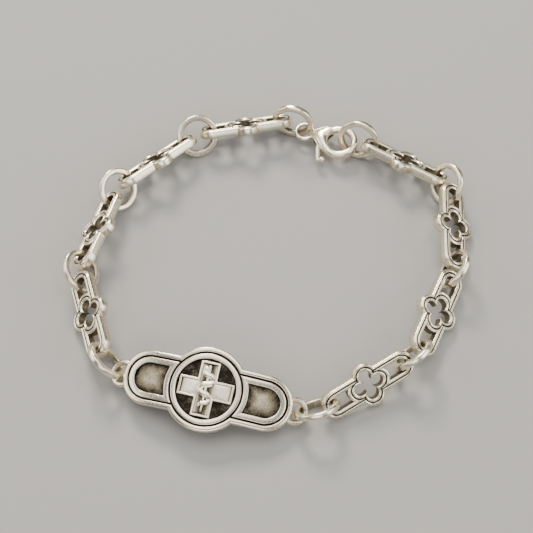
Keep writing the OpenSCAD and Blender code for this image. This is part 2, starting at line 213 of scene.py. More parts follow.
class BRACELET_PG_plate(bpy.types.PropertyGroup):
    """Sizes of the plate and of what stands in its recess."""

    length: size("Length", "Length over the two wings, without the eyes", 27.2)
    middle: size("Middle", "Diameter of the round middle", 13.2)
    wing: size("Wing", "Width of a wing", 8.6)
    thickness: size("Thickness", "Thickness of the plate", 1.9)
    bend: size("Bend", "Radius to which the plate is curved along its length", 34)
    groove_in: size("Line inset", "Distance from the edge to the middle of the engraved line", 0.93)
    recess: size("Recess", "Diameter of the round recess", 9.5)
    recess_deep: size("Recess depth", "Depth of the round recess", 0.6)
    pocket_in: size("Pocket inset", "Distance from the edge of a wing to its pocket", 1.95)
    pocket_deep: size("Pocket depth", "Depth of a pocket", 0.45)
    pocket_dome: size("Pocket dome", "Height by which the floor of a pocket bulges", 0.12)
    recess_edge: size("Recess edge", "Radius of the rounded edges of the recess and the pockets", 0.09)
    edge: size("Edge", "Radius of the rounded outer edges", 0.3)
    line_w: size("Line", "Width of the engraved line", 0.28)
    line_deep: size("Line depth", "Depth of the engraved line", 0.25)
    crown: size("Crown", "Height by which the bands bulge between line and edge", 0.015)
    eye_d: size("Eye", "Outer diameter of the eye at each end", 4.5)
    eye_wire: size("Eye wire", "Diameter of the wire of an eye", 0.9)
    arm_l: size("Arm length", "Reach of a cross arm from the middle", 4.3)
    arm_w: size("Arm width", "Width of a cross arm", 3.0)
    border: size("Border", "Width of the raised border of the cross", 0.32)
    border_h: size("Border height", "Height of the border above the floor of the recess", 0.5)
    field_h: size("Field height", "Height of the sunken fields above the floor of the recess", 0.2)
    rod_w: size("Rod", "Width of the rod", 0.36)
    serpent_w: size("Serpent", "Thickness of the serpent at its thickest", 1.15)


class BRACELET_PG_clasp(bpy.types.PropertyGroup):
    """Sizes of the clasp and of its lever."""

    bore: size("Bore", "Inner diameter of the hook", 4.1)
    hook_w: size("Hook width", "Width of the hook's metal, seen from the face", 1.25)
    hook_t: size("Hook thickness", "Thickness of the hook", 1.65)
    reach: size("Reach", "Distance from the middle of the hook to the middle of the clasp's eye", 6.4)
    eye_d: size("Eye", "Outer diameter of the clasp's eye", 3.7)
    eye_bore: size("Eye bore", "Hole of the clasp's eye", 2.4)
    neck: size("Neck", "Width of the neck, next to the eye", 2.22)
    belly: size("Belly", "How far the flanks of the teardrop bulge past straight lines", 0.16)
    body_t: size("Body thickness", "Thickness of the domed body at its middle", 2.6)
    lever_t: size("Lever thickness", "Thickness of the lever", 0.9)
    pin_d: size("Pin", "Diameter of the lever's pin", 0.7)
    hub_wall: size("Hub wall", "Width of the lever's metal round its pin", 0.5)
    ball_d: size("Ball", "Diameter of the ball on the thumb stem", 1.0)
    slot_gap: size("Slot gap", "Clearance of the lever in its slot, on each side", 0.12)
    tip_gap: size("Tip gap", "Gap between the closed lever and the tip of the hook", 0.12)


class BRACELET_PG_finish(bpy.types.PropertyGroup):
    """Colours of the silver and of the floor."""

    # These colours also paint shade at the feet of edges and on the walls of holes, and a highlight in the
    # middle of each pocket
    polished: tint("Polished silver", "Colour of the rubbed metal", "F6EBD2")
    worn: tint("Worn silver", "Colour of the metal that keeps a thin stain", "A79A7F")
    blackened: tint("Blackened silver", "Colour of the metal in lines and recesses", "29251F")
    floor: tint("Floor", "Colour of the pale floor", "9C9994")


def spread(steps):
    """Steps from 0 up to, but not at, 1 that crowd together at both ends, along half a cosine wave."""
    return (1 - np.cos(np.pi * np.arange(steps) / steps)) / 2


def arc(centre, radius, start, stop, steps):
    """Points on a circle from one angle in degrees to another, without the last one."""
    angle = np.radians(start + (stop - start) * spread(steps))
    return np.array(centre) + radius * np.stack([np.cos(angle), np.sin(angle)], axis=1)


def line(start, stop, steps):
    """Points on a straight line, without the last one."""
    start, stop = np.array(start, float), np.array(stop, float)
    return start + (stop - start) * spread(steps)[:, None]


def turned(points, degrees):
    """Flat points turned about the middle, by the matrix of the angle's cosine and sine."""
    c, s = np.cos(np.radians(degrees)), np.sin(np.radians(degrees))
    return points @ np.array([[c, s], [-s, c]])


def with_half_turn(half):
    """Half an outline, and after it the same half turned by 180 degrees, which follows on from it."""
    return np.concatenate([half, turned(half, 180)])


def leg(hypotenuse, other):
    """The third side of a right-angled triangle, or 0 where the two given sides don't meet."""
    return np.sqrt(max(hypotenuse * hypotenuse - other * other, 0))


def quatrefoil(at, radius):
    """Four circles on a cross, each kept from the diagonal on one side of it to the diagonal on the other."""
    corner = (at + np.sqrt(max(2 * radius * radius - at * at, 0))) / 2
    half = np.degrees(np.arctan2(corner, corner - at))
    lobe = arc((at, 0), radius, -half, half, ARC_STEPS)
    return np.concatenate([turned(lobe, quarter) for quarter in (0, 90, 180, 270)])


def waist(end_at, end_r, bulge_at, bulge_r, steps=ARC_STEPS):
    """Two round ends joined by straight sides, and a round bulge that grows out of each straight side."""
    side = leg(bulge_r, end_r - bulge_at)
    start = np.degrees(np.arctan2(end_r - bulge_at, side))
    half = np.concatenate([
        arc((end_at, 0), end_r, -90, 90, steps),
        line((end_at, end_r), (side, end_r), STRAIGHT_STEPS),
        arc((0, bulge_at), bulge_r, start, 180 - start, steps),
        line((-side, end_r), (-end_at, end_r), STRAIGHT_STEPS),
    ])
    return with_half_turn(half)


def bay(end_at, end_r, corner_at, bow_at, bow_r):
    """A round end, two straight sides up to a corner, and a bow from the upper corner to the lower one, which
    is part of a circle about a centre on the X axis."""
    start = np.degrees(np.arctan2(end_r, corner_at - bow_at))
    return np.concatenate([
        arc((end_at, 0), end_r, -90, 90, ARC_STEPS),
        line((end_at, end_r), (corner_at, end_r), STRAIGHT_STEPS),
        arc((bow_at, 0), bow_r, start, -start, ARC_STEPS),
        line((corner_at, -end_r), (end_at, -end_r), STRAIGHT_STEPS),
    ])


def grid_faces(rows, columns, ring_shaped):
    """Quads between neighbouring rows and columns. Columns close on themselves, as ring-shaped rows do."""
    row_count = rows if ring_shaped else rows - 1
    row, column = np.meshgrid(np.arange(row_count), np.arange(columns), indexing="ij")
    here, below, ahead = row * columns, (row + 1) % rows * columns, (column + 1) % columns
    return np.stack([here + column, here + ahead, below + ahead, below + column], axis=-1).reshape(-1, 4)


def shell(points, patina_and_painted_light, ring_shaped=False):
    """A closed surface from a grid of points. Its darkness, blackening and painted light together, is one
    number, or one for each row or each point.
    Without a ring shape, a flat face closes its first and last row. Its faces are turned outwards by the sign
    of the volume that they enclose, which goes as the sum of their corners' triple products."""
    rows, columns = points.shape[:2]
    flat = points.reshape(-1, 3)
    quads = grid_faces(rows, columns, ring_shaped)
    caps = [] if ring_shaped else [np.arange(columns)[::-1], np.arange(columns) + (rows - 1) * columns]
    fans = [np.stack([np.full(columns - 2, cap[0]), cap[1:-1], cap[2:]], axis=1) for cap in caps]
    triangles = np.concatenate([quads[:, [0, 1, 2]], quads[:, [0, 2, 3]], *fans])
    a, b, c = (flat[triangles[:, k]] - flat.mean(axis=0) for k in range(3))
    way = -1 if np.einsum("ij,ij->", a, np.cross(b, c)) < 0 else 1
    faces = [block[:, ::way] for block in (quads, *(cap[None, :] for cap in caps))]
    shade = np.asarray(patina_and_painted_light, float)
    if shade.ndim == 1:
        shade = shade[:, None]
    return flat, faces, np.broadcast_to(shade, (rows, columns)).reshape(-1)


def half_turned(piece):
    """A shell turned by 180 degrees about Z."""
    points, faces, patina_and_painted_light = piece
    return points * np.array([-1, -1, 1]), faces, patina_and_painted_light


def ridge(low_edge, high_edge, rows):
    """A ring-shaped ridge between two outlines that are given as functions of their inset. Each row is a side
    (0 at the first outline, 1 at the second, between them a share), an inset, a height and a darkness, which
    holds the blackening and the painted shade."""
    points = []
    for side, inset, height, _ in rows:
        plan = low_edge(inset) * (1 - side) + high_edge(inset) * side
        points.append(np.column_stack([plan, np.full(len(plan), height)]))
    return shell(np.array(points), np.array([dark for _, _, _, dark in rows]), ring_shaped=True)


def shoulder(side, radius, top, dark, angles, fade=1.0):
    """Rows over a round shoulder, a quarter circle from the wall to the top. Its darkness, blackening on some
    edges and painted shade on the walls of holes, falls with the height still to climb, raised to a power."""
    return [(side, radius * (1 - np.cos(a)), top - radius * (1 - np.sin(a)), dark * (1 - np.sin(a)) ** fade)
            for a in angles]


def free_edge(side, radius, top, bottom):
    """Rows up a free edge: a small round at the foot, darkened with painted shade, the wall, and a round
    shoulder at the top.
    """
    foot = radius * 0.6
    fall = PAINTED_FOOT_SHADE_DARKEST - PAINTED_FOOT_SHADE_LIGHTEST
    # Painted shade at the foot, darkest at the bottom and lighter up the round
    rows = [(side, foot * (1 - np.sin(a)), bottom + foot * (1 - np.cos(a)), PAINTED_FOOT_SHADE_DARKEST - fall * np.sin(a))
            for a in FEW_ANGLES]
    rows.append((side, 0, (bottom + top) / 2, WORN))
    return rows + shoulder(side, radius, top, WORN, SOME_ANGLES)


def pierced_edge(side, radius, top, bottom):
    """Rows up the wall of a hole, painted dark with painted shade up to a narrow bright shoulder."""
    foot = 0.05
    # Painted shade down the wall of the hole, from just above its foot
    rows = [
        (side, foot, bottom, EDGE),
        (side, 0, bottom + foot, PAINTED_HOLE_SHADE),
        (side, 0, (bottom + top) / 2, PAINTED_HOLE_SHADE),
    ]
    return rows + shoulder(side, radius, top, PAINTED_HOLE_SHADE, MANY_ANGLES, 1.5)


def lined_edge(side, width, deep, top, bottom):
    """Rows up an edge that is half of an engraved line: a hidden wall, the black bottom of the line, its
    slope and a soft lip. Insets are shares of half the line's width, and drops are shares of its depth."""
    half = width / 2
    return [
        (side, -LAP, bottom + LAP, BLACK),
        (side, -LAP, top - deep, BLACK),
        (side, half * 0.4, top - deep * 0.97, BLACK),
        (side, half * 0.75, top - deep * 0.6, BLACK),
        (side, half * 1.0, top - deep * 0.28, SHADED),
        (side, half * 1.35, top - deep * 0.08, EDGE),
        (side, half * 1.8, top, BRIGHT),
    ]


def sunk_edge(side, radius, top, bottom):
    """Rows up the edge of a recess: the dark wall and a round shoulder."""
    rows = [(side, 0, bottom, SHADED), (side, 0, (bottom + top) / 2, SHADED)]
    return rows + shoulder(side, radius, top, SHADED, FEW_ANGLES, 2)


def crowned(first_rows, second_rows, crown):
    """The rows of a ridge: up its first edge, over a top that bulges as a low parabola, and down its second
    edge."""
    inset_a, top = first_rows[-1][1:3]
    inset_b = second_rows[-1][1]
    middle = []
    for share in (0.1, 0.3, 0.5, 0.7, 0.9):
        inset = inset_a * (1 - share) + inset_b * share
        middle.append((share, inset, top + crown * (1 - (2 * share - 1) ** 2), BRIGHT))
    return first_rows + middle + second_rows[::-1]


def pillow(outline, shares, heights, patina_and_painted_light, bottom, centre=(0, 0)):
    """A closed slab under a surface that is drawn in from an outline towards a centre. Each row is the
    outline shrunk to a share of itself, at its own height, and two rows below close it."""
    share = np.array([shares[-1], 1.0, *shares])[:, None, None]
    height = np.array([bottom, bottom, *(0 * shares + heights)])
    plan = np.array(centre) + (outline - centre) * share
    points = np.concatenate([plan, np.broadcast_to(height[:, None, None], (*plan.shape[:2], 1))], axis=2)
    return shell(points, np.array([SHADED, SHADED, *(0 * shares + patina_and_painted_light)]))


def round_box(power, steps):
    """Points of a rounded square that reaches from -1 to 1: a circle's cosine and sine, each raised to 2 over
    the given power with its sign kept."""
    angle = np.linspace(0, 2 * np.pi, steps, endpoint=False)
    c, s = np.cos(angle), np.sin(angle)
    return np.sign(c) * np.abs(c) ** (2 / power), np.sign(s) * np.abs(s) ** (2 / power)


def torus(ring_r, wire_r, around=112, across=24, power=2.0):
    """A wire bent to a ring: its section, a circle or a rounded square, is carried round a large circle."""
    u = np.linspace(0, 2 * np.pi, around, endpoint=False)[:, None]
    c, h = round_box(power, across)
    reach = ring_r + wire_r * c[None, :]
    points = np.stack([reach * np.cos(u), reach * np.sin(u), wire_r * h[None, :] + 0 * u], axis=-1)
    # The blackening stays on the inside of the ring, where no cloth reaches
    stain = WORN + INNER_STAIN * np.clip(-c, 0, 1)[None, :] ** 1.5
    return shell(points, stain, ring_shaped=True)


def smooth_path(points, steps):
    """A smooth curve through a few points: between two of them, a cubic whose slope at each is half the way
    from the point before it to the point after it."""
    p = np.array(points, float)
    ends = np.concatenate([[2 * p[0] - p[1]], p, [2 * p[-1] - p[-2]]])
    t = np.linspace(0, len(p) - 1, steps)
    k = np.minimum(t.astype(int), len(p) - 2)
    f = (t - k)[:, None]
    a, b, c, d = ends[k], ends[k + 1], ends[k + 2], ends[k + 3]
    square = 2 * a - 5 * b + 4 * c - d
    cube = 3 * b - a - 3 * c + d
    return 0.5 * (2 * b + (c - a) * f + square * f ** 2 + cube * f ** 3)


def swept(path, half_width, half_height, power=2.0, patina_and_painted_light=WORN, steps=16, blunt=0.25):
    """A flat-lying bar along a path: a rounded section stands across the path. Over both ends it shrinks as a
    quarter circle does, over a length that is the blunt share of its half width."""
    path = np.asarray(path, float)
    along = np.gradient(path, axis=0)
    along[:, 2] = 0
    along /= np.linalg.norm(along, axis=1)[:, None]
    across = np.stack([-along[:, 1], along[:, 0], np.zeros(len(path))], axis=1)
    run = np.concatenate([[0], np.cumsum(np.linalg.norm(np.diff(path, axis=0), axis=1))])
    to_end = np.minimum(run, run[-1] - run)
    close = 1 - np.clip(1 - to_end / (blunt * half_width), 0, 1) ** 2
    scale = np.sqrt(np.clip(close, SMALLEST_END ** 2, 1))
    c, s = round_box(power, steps)
    points = path[:, None, :] + (half_width * scale)[:, None, None] * c[None, :, None] * across[:, None, :]
    points[:, :, 2] += (half_height * scale)[:, None] * s[None, :]
    return shell(points, patina_and_painted_light)


def ball(centre, radius, steps=20):
    """A globe between two tiny caps: a circle's height and reach as the sine and cosine of its latitude."""
    latitude = np.radians(np.linspace(-POLAR_CAP, POLAR_CAP, steps))[:, None]
    longitude = np.linspace(0, 2 * np.pi, 2 * steps, endpoint=False)[None, :]
    points = np.stack([
        np.cos(latitude) * np.cos(longitude),
        np.cos(latitude) * np.sin(longitude),
        np.sin(latitude) + 0 * longitude,
    ], axis=-1)
    return shell(np.array(centre) + radius * points, BRIGHT)


def node_points(node):
    """The corners of a CAD node's mesh, in millimetres, and its triangles."""
    mesh = frame["nodes"][node].data
    points = np.empty(len(mesh.vertices) * 3, np.float32)
    mesh.vertices.foreach_get("co", points)
    mesh.calc_loop_triangles()
    corners = np.empty(len(mesh.loop_triangles) * 3, np.int32)
    mesh.loop_triangles.foreach_get("vertices", corners)
    return points.reshape(-1, 3).astype(float) / MM, corners.reshape(-1, 3)


def main_axes(node):
    """The corners of a node and the axes of its surface's second moments, from the least to the greatest.
    A triangle's share is its area times the squares at the middles of its edges."""
    points, corners = node_points(node)
    triangle = points[corners]
    area = np.linalg.norm(np.cross(triangle[:, 1] - triangle[:, 0], triangle[:, 2] - triangle[:, 0]), axis=1)
    middles = (triangle + np.roll(triangle, 1, axis=1)) / 2
    centre = np.einsum("i,ijk->k", area, middles) / (3 * area.sum())
    off = middles - centre
    moments = np.einsum("i,ijk,ijl->kl", area, off, off)
    return points, np.linalg.eigh(moments)[1].T


def lying_place(node, half_thickness):
    """Axes and origin of a flat piece that lies face up: X along it, Z out of its face, and the origin in the
    middle of its length and width, half a thickness under its highest face."""
    points, (least, _, greatest) = main_axes(node)
    z = least * np.sign(least[2])
    x = greatest * np.sign(greatest[0])
    axes = np.array([x, np.cross(z, x), z])
    local = points @ axes.T
    low, high = local.min(axis=0), local.max(axis=0)
    origin = (low + high) / 2
    origin[2] = high[2] - half_thickness
    return axes, origin @ axes


def ring_place(node):
    """Axes and origin of a round ring: Z along its axis, X level, and the origin in its middle."""
    points, (axis, _, _) = main_axes(node)
    level = np.cross(axis, [0, 0, 1])
    level /= np.linalg.norm(level)
    axes = np.array([level, np.cross(axis, level), axis])
    local = points @ axes.T
    return axes, (local.min(axis=0) + local.max(axis=0)) / 2 @ axes


def clasp_place(sizes):
    """Axes and origin of the clasp: Z against the hinge's axis, the origin in the middle of the hook and X
    towards the hinge. The middle is the centre of the circle that fits the far rim of the hook best, by least
    squares: each point there gives one linear equation in the centre and the radius."""
    z = -np.array(HINGE["axis"], float)
    z /= np.linalg.norm(z)
    pin = np.array(HINGE["pos_m"], float) / MM
    side = np.cross(z, [1, 0, 0])
    side /= np.linalg.norm(side)
    flat = np.array([np.cross(side, z), side])
    points, _ = node_points("clasp_body")
    height = (points - pin) @ z
    plan = (points - pin) @ flat.T
    chamfer = sizes.hook_t / 2 - sizes.hook_w / 4
    band, far = 0.06, 1.45 * sizes.bore
    on_chamfer = np.abs(np.abs(height) - chamfer) < band
    beyond_bore = np.linalg.norm(plan, axis=1) > far
    x, y = plan[on_chamfer & beyond_bore].T
    equations = np.column_stack([2 * x, 2 * y, np.ones(len(x))])
    middle = np.linalg.lstsq(equations, x * x + y * y, rcond=None)[0][:2]
    origin = pin + middle @ flat
    forward = pin - origin
    forward /= np.linalg.norm(forward)
    return np.array([forward, np.cross(z, forward), z]), origin


def add_piece(name, shells, place, body, *nodes):
    """One silver mesh object from closed shells in millimetres, moved from the piece's own frame to where it
    lies. It rides on a body and stands for CAD nodes, and its blackening and painted light are kept as a
    number at each point."""
    axes, origin = place
    points, faces, patina_and_painted_light, first = [], [], [], 0
    for shell_points, shell_faces, shell_patina_and_painted_light in shells:
        points.append(shell_points @ axes + origin)
        patina_and_painted_light.append(shell_patina_and_painted_light)
        for block in shell_faces:
            faces += (block + first).tolist()
        first += len(shell_points)
    mesh = bpy.data.meshes.new(name)
    mesh.from_pydata((np.concatenate(points) * MM).tolist(), [], faces)
    mesh.shade_smooth()
    # The attribute holds the blackening, and also the painted shade and the painted highlight
    attribute = mesh.attributes.new("patina_and_painted_light", "FLOAT", "POINT")
    attribute.data.foreach_set("value", np.concatenate(patina_and_painted_light).astype(np.float32))
    mesh.materials.append(antiqued_silver())
    piece = bpy.data.objects.new(name, mesh)
    bpy.context.scene.collection.objects.link(piece)
    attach(piece, body)
    if nodes:
        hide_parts(*nodes)
    return piece


def add_node(tree, kind, sockets=(), **settings):
    """A shader node with its settings. Each socket gets a value, or a link where an output is given."""
    made = tree.nodes.new(kind)
    for name, value in settings.items():
        setattr(made, name, value)
    for socket, value in dict(sockets).items():
        if isinstance(value, bpy.types.NodeSocket):
            tree.links.new(value, made.inputs[socket])
        else:
            made.inputs[socket].default_value = value
    return made


def per_metre(millimetres):
    """A texture's scale for features of a size in millimetres, since object coordinates are in metres."""
    return 1 / (millimetres * MM)


def blank_material(name):
    """A new material with an empty node tree."""
    made = bpy.data.materials.new(name)
    made.use_nodes = True
    made.node_tree.nodes.clear()
    return made


def antiqued_silver():
    """Sterling silver, cast, blackened with liver of sulphur and rubbed bright: warm white metal on all that
    a cloth reaches, a brown-black matt film in lines and recesses, and a faint stain between the two. The
    same darkening also lays painted shade at the feet of edges and on the walls of holes, and a painted
    highlight in the middle of each pocket."""
    made = bpy.data.materials.get("antiqued_silver")
    if made:
        return made
    finish = bpy.context.scene.bracelet_finish
    made = blank_material("antiqued_silver")
    tree = made.node_tree
    place = add_node(tree, "ShaderNodeTexCoord").outputs["Object"]
    dark = add_node(tree, "ShaderNodeAttribute", attribute_name="patina_and_painted_light").outputs["Fac"]
    # Clouds of stain about 1.4 mm wide
    cloud = add_node(tree, "ShaderNodeTexNoise", {"Vector": place, "Scale": per_metre(1.4), "Detail": 4.0})
    # Specks of film about 0.25 mm wide, drawn a little coarser than real so that they show
    speck = add_node(tree, "ShaderNodeTexNoise", {"Vector": place, "Scale": per_metre(0.25), "Detail": 3.0})
    # Rubbing marks 0.12 mm wide and some 3 mm long
    along = add_node(tree, "ShaderNodeMapping", {
        "Vector": place, "Rotation": (0.3, 0.2, 0.5), "Scale": (1.0, 0.04, 1.0)})
    rubbed = add_node(tree, "ShaderNodeTexNoise", {
        "Vector": along.outputs["Vector"], "Scale": per_metre(0.12), "Detail": 2.0})
    uneven = add_node(tree, "ShaderNodeMath", {0: cloud.outputs["Fac"], 1: speck.outputs["Fac"]},
                      operation="ADD")
    shifted = add_node(tree, "ShaderNodeMapRange", {
        "Value": uneven.outputs[0], "From Min": 0.7, "From Max": 1.3, "To Min": -0.16, "To Max": 0.16})
    # Bare metal stays clean, and the film, with the painted shade and highlight in it, is the more uneven the
    # thicker it is
    held = add_node(tree, "ShaderNodeMapRange", {
        "Value": dark, "From Min": 0.0, "From Max": 0.5, "To Min": 0.15})
    patchy = add_node(tree, "ShaderNodeMath", {0: shifted.outputs[0], 1: held.outputs[0]},
                      operation="MULTIPLY")
    film = add_node(tree, "ShaderNodeMath", {0: dark, 1: patchy.outputs[0]}, operation="ADD", use_clamp=True)
    stained = add_node(tree, "ShaderNodeMapRange", {
        "Value": film.outputs[0], "From Min": 0.05, "From Max": 0.5})
    black = add_node(tree, "ShaderNodeMapRange", {
        "Value": film.outputs[0], "From Min": 0.35, "From Max": 0.95})
    # A colour mix has its factor in socket 0, its two colours in 6 and 7, and its result in output 2
    first = add_node(tree, "ShaderNodeMix", {
        0: stained.outputs[0], 6: (*finish.polished, 1), 7: (*finish.worn, 1)}, data_type="RGBA")
    second = add_node(tree, "ShaderNodeMix", {
        0: black.outputs[0], 6: first.outputs[2], 7: (*finish.blackened, 1)}, data_type="RGBA")
    # Rubbed metal is satin, and the film is matt
    rough = add_node(tree, "ShaderNodeMapRange", {
        "Value": film.outputs[0], "From Min": 0.0, "From Max": 0.9, "To Min": 0.26, "To Max": 0.62})
    grain = add_node(tree, "ShaderNodeMapRange", {
        "Value": rubbed.outputs["Fac"], "From Min": 0.3, "From Max": 0.7, "To Min": -0.05, "To Max": 0.05})
    roughness = add_node(tree, "ShaderNodeMath", {0: rough.outputs[0], 1: grain.outputs[0]},
                         operation="ADD", use_clamp=True)
    relief = add_node(tree, "ShaderNodeMath", {0: rubbed.outputs["Fac"], 1: speck.outputs["Fac"]},
                      operation="ADD")
    bump = add_node(tree, "ShaderNodeBump", {
        "Height": relief.outputs[0], "Strength": 0.05, "Distance": 0.02 * MM})
    shader = add_node(tree, "ShaderNodeBsdfPrincipled", {
        "Base Color": second.outputs[2], "Metallic": 1.0, "Roughness": roughness.outputs[0],
        "Normal": bump.outputs["Normal"]})
    add_node(tree, "ShaderNodeOutputMaterial", {"Surface": shader.outputs["BSDF"]})
    return made


def link_shells(s):
    """Four ridges that meet at the engraved lines: an outer band, a four-lobed ring about the hole and, at
    each end, a ring about the slot."""
    width, deep, crown = s.line_w, s.line_deep, s.crown
    top, bottom = s.thickness / 2 - crown, -s.thickness / 2
    end_at = (s.length - s.span) / 2
    lobe_at = s.lobe_span / 2 - s.lobe_r
    hole_at = s.hole_span / 2 - s.hole_r
    vein_at, vein_r = (lobe_at + hole_at) / 2, (s.lobe_r + s.hole_r) / 2
    vein_end = (s.span - s.rail) / 2
    slot_r = s.span / 2 - s.rail

    def rim(inset):
        return waist(end_at, s.span / 2 - inset, lobe_at, s.lobe_r - inset)

    def rim_line(inset):
        return waist(end_at, vein_end + inset, vein_at, vein_r + inset)

    def hole(inset):
        return quatrefoil(hole_at, s.hole_r + inset)

    def hole_line(inset):
        return quatrefoil(vein_at, vein_r - inset)

    def slot(inset):
        high, bow = slot_r + inset, s.lobe_r - inset
        return bay(end_at, high, lobe_at + leg(bow, high), lobe_at, bow)

    def slot_line(inset):
        # The bow meets the straight sides only from an inset called touch on. Before it, the corner slides
        # there in a straight line from where the outer lines meet
        high, bow = vein_end - inset, vein_r + inset
        touch = (vein_end - vein_r) / 2
        before = leg(vein_r, vein_end - vein_at)
        corner = vein_at + leg(bow, high) if inset > touch else before + (vein_at - before) * inset / touch
        return bay(end_at, high, corner, vein_at, bow)

    lined = lined_edge(1, width, deep, top, bottom)
    outer = crowned(lined_edge(0, width, deep, top, bottom), free_edge(1, s.edge, top, bottom), crown)
    hole_edge = s.edge * 0.8
    inner = crowned(pierced_edge(0, hole_edge, top, bottom), lined, crown)
    end = ridge(slot, slot_line, inner)
    return [ridge(rim_line, rim, outer), ridge(hole, hole_line, inner), end, half_turned(end)]


def bent(shells, radius):
    """Shells curved along X over a drum: a point keeps its X, and its height becomes its distance from the
    drum's surface, so that its new height follows from a right-angled triangle at the drum's axis."""
    curved = []
    for points, faces, patina_and_painted_light in shells:
        drop = np.sqrt((radius + points[:, 2]) ** 2 - points[:, 0] ** 2) - radius
        curved.append((np.column_stack([points[:, :2], drop]), faces, patina_and_painted_light))
    return curved


def plate_shells(s):
    """Crowned bands between engraved lines, a sunken round floor and a domed floor in each wing, all bent
    along the plate's length."""
    width, deep, crown = s.line_w, s.line_deep, s.crown
    top, bottom = s.thickness / 2 - crown, -s.thickness / 2
    end_at = (s.length - s.wing) / 2
    line_r = s.middle / 2 - s.groove_in
    line_end = s.wing / 2 - s.groove_in
    pocket_end = s.wing / 2 - s.pocket_in

    def rim(inset):
        return waist(end_at, s.wing / 2 - inset, 0, s.middle / 2 - inset, WING_STEPS)

    def rim_line(inset):
        return waist(end_at, line_end + inset, 0, line_r + inset, WING_STEPS)

    def pocket(inset):
        high, bow = pocket_end + inset, s.middle / 2 - inset
        return bay(end_at, high, leg(bow, high), 0, bow)

    def wing_line(inset):
        high, bow = line_end - inset, line_r + inset
        return bay(end_at, high, leg(bow, high), 0, bow)

    def disc_line(inset):
        return arc((0, 0), line_r - inset, 0, 360, ROUND_STEPS)

    def recess(inset):
        return arc((0, 0), s.recess / 2 + inset, 0, 360, ROUND_STEPS)

    lined = lined_edge(1, width, deep, top, bottom)
    outer = crowned(lined_edge(0, width, deep, top, bottom), free_edge(1, s.edge, top, bottom), crown)
    sunk = crowned(sunk_edge(0, s.recess_edge, top, bottom + LAP), lined, crown)
    panel = ridge(pocket, wing_line, sunk)

    floor = top + crown - s.recess_deep
    disc = pillow(recess(LAP), FLAT_SHARES, floor, RECESS_PATINA, bottom + LAP)

    # A pocket's floor is a low dome. Its blackening thickens towards its wall, and its lighter middle is a
    # painted highlight
    low = top + crown - s.pocket_deep
    heights = low + s.pocket_dome * (1 - DOMED_SHARES ** 2)
    # Darker towards the wall from the blackening, and lighter in the middle as a painted highlight
    stain = 0.95 - 0.6 * np.exp(-(DOMED_SHARES / 0.66) ** 3)
    reach = pocket(-LAP)[:, 0]
    centre = (reach.min() / 2 + reach.max() / 2, 0)
    dish = pillow(pocket(LAP), DOMED_SHARES, heights, stain, bottom + LAP, centre)
    shells = [ridge(rim_line, rim, outer), panel, ridge(recess, disc_line, sunk), disc]
    return bent([*shells, half_turned(panel), half_turned(dish), dish], s.bend)


def eye_shells(s):
    """A soldered wire eye at each end, turned about the middle of the plate's curve."""
    turn = np.arcsin((s.length / 2 + s.eye_wire / 4) / s.bend)
    shells = []
    points, faces, patina_and_painted_light = torus((s.eye_d - s.eye_wire) / 2, s.eye_wire / 2)
    middle = np.array([0, 0, -s.bend])
    for angle in (-turn, turn):
        c, sine = np.cos(angle), np.sin(angle)
        about_y = np.array([[c, 0, -sine], [0, 1, 0], [sine, 0, c]])
        shells.append(((points - middle) @ about_y + middle, faces, patina_and_painted_light))
    return shells


def cross_outline(half, reach):
    """A cross with four equal arms: twelve straight edges between its outer and inner corners."""
    steps = 7
    arm = [(half, -half), (reach, -half), (reach, half)]
    corners = np.concatenate([turned(np.array(arm), quarter) for quarter in (0, 90, 180, 270)])
    following = np.roll(corners, -1, axis=0)
    return np.concatenate([line(a, b, steps) for a, b in zip(corners, following)])


